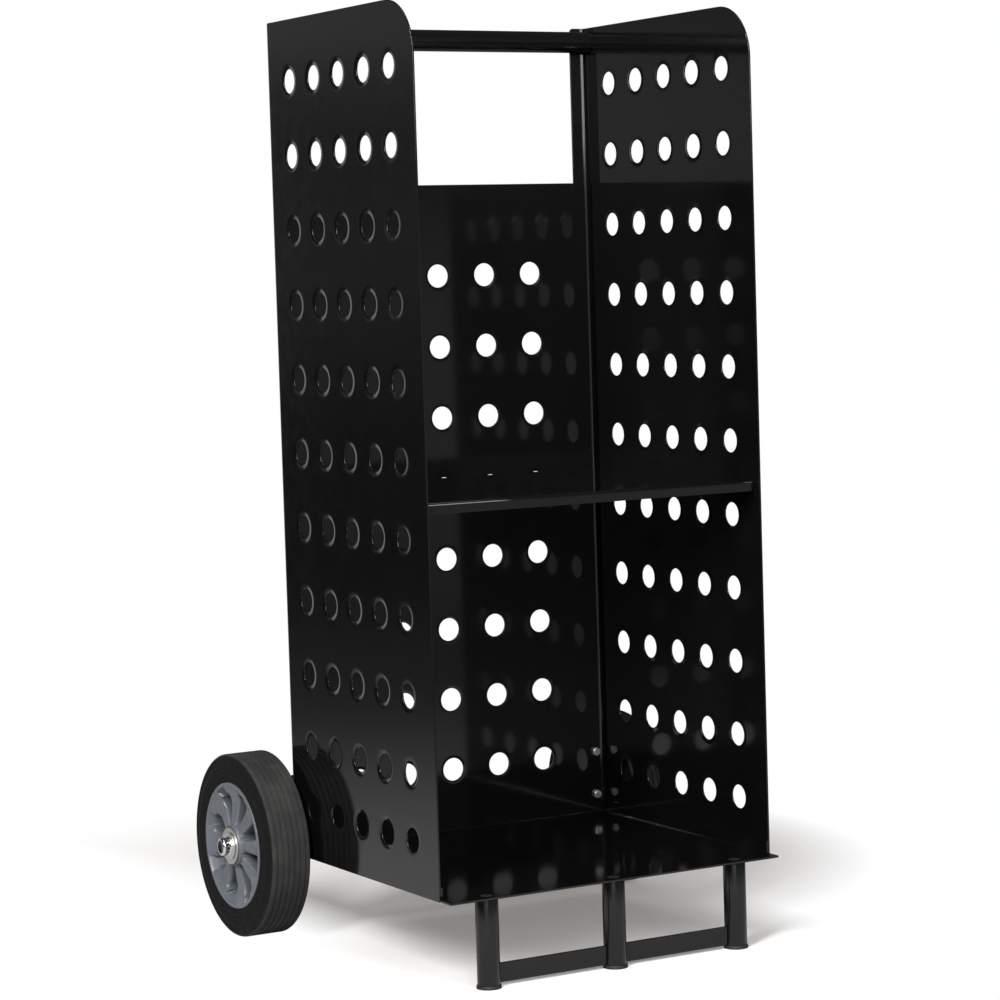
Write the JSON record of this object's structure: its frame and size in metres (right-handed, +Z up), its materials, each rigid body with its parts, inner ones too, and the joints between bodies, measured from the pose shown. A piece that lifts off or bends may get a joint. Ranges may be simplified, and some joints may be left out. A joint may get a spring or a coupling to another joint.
{
  "type": "fireside log cart",
  "caption": "Tall perforated sheet-steel log cart, open at the front, with a middle shelf, a floor tray, a rear handle bar, front legs and rear wheels.",
  "frame": {"origin": "bottom centre of the box round the whole cart, on the floor", "axes": "+X to the cart's right as seen from its open front, +Y from the open front to the wheels behind, +Z up"},
  "size_m": [0.5462, 0.5006, 1.004],
  "materials": {
    "sheet_powder_coat": "smooth semi-gloss black powder coat",
    "tube_powder_coat": "satin black powder coat",
    "zinc_steel": "bright zinc plating",
    "black_screw": "black phosphate",
    "foot_plastic": "matt black moulded plastic",
    "hub_plastic": "moulded blue-grey plastic, low sheen",
    "tyre_rubber": "matt black solid rubber with a paler worn tread",
    "bearing_steel": "ground steel",
    "bearing_shield": "cream-tinted pressed steel",
    "cap_chrome": "polished chrome"
  },
  "bodies": {
    "frame": {"left_side_panel": "sheet_powder_coat", "right_side_panel": "sheet_powder_coat", "back_panel": "sheet_powder_coat", "middle_shelf": "sheet_powder_coat", "floor_tray": "sheet_powder_coat", "handle_bar": "tube_powder_coat", "handle_screws": "zinc_steel", "leg_left": "tube_powder_coat", "leg_centre": "tube_powder_coat", "leg_right": "tube_powder_coat", "leg_plugs": "zinc_steel", "leg_screws": "black_screw", "foot_cap_left": "foot_plastic", "foot_cap_centre": "foot_plastic", "foot_cap_right": "foot_plastic", "cross_bar_left": "tube_powder_coat", "cross_bar_right": "tube_powder_coat", "axle": "zinc_steel", "axle_bracket_left": "tube_powder_coat", "axle_bracket_right": "tube_powder_coat", "bracket_bolts": "zinc_steel", "bracket_nuts": "zinc_steel", "left_inner_washer": "zinc_steel", "left_outer_washer": "zinc_steel", "left_retaining_cap": "cap_chrome", "right_inner_washer": "zinc_steel", "right_outer_washer": "zinc_steel", "right_retaining_cap": "cap_chrome"},
    "left_wheel": {"left_tyre": "tyre_rubber", "left_hub": "hub_plastic", "left_bearing_outer_races": "bearing_steel", "left_bearing_inner_races": "bearing_steel", "left_bearing_balls": "bearing_steel", "left_bearing_shields": "bearing_shield", "left_bearing_sleeve": "zinc_steel"},
    "right_wheel": {"right_tyre": "tyre_rubber", "right_hub": "hub_plastic", "right_bearing_outer_races": "bearing_steel", "right_bearing_inner_races": "bearing_steel", "right_bearing_balls": "bearing_steel", "right_bearing_shields": "bearing_shield", "right_bearing_sleeve": "zinc_steel"}
  },
  "joints": [
    {"name": "left_wheel_spin", "type": "hinge", "parent": "frame", "child": "left_wheel", "pos_m": [-0.233, 0.14875, 0.1015], "axis": [1, 0, 0], "continuous": true},
    {"name": "right_wheel_spin", "type": "hinge", "parent": "frame", "child": "right_wheel", "pos_m": [0.233, 0.14875, 0.1015], "axis": [1, 0, 0], "continuous": true}
  ]
}
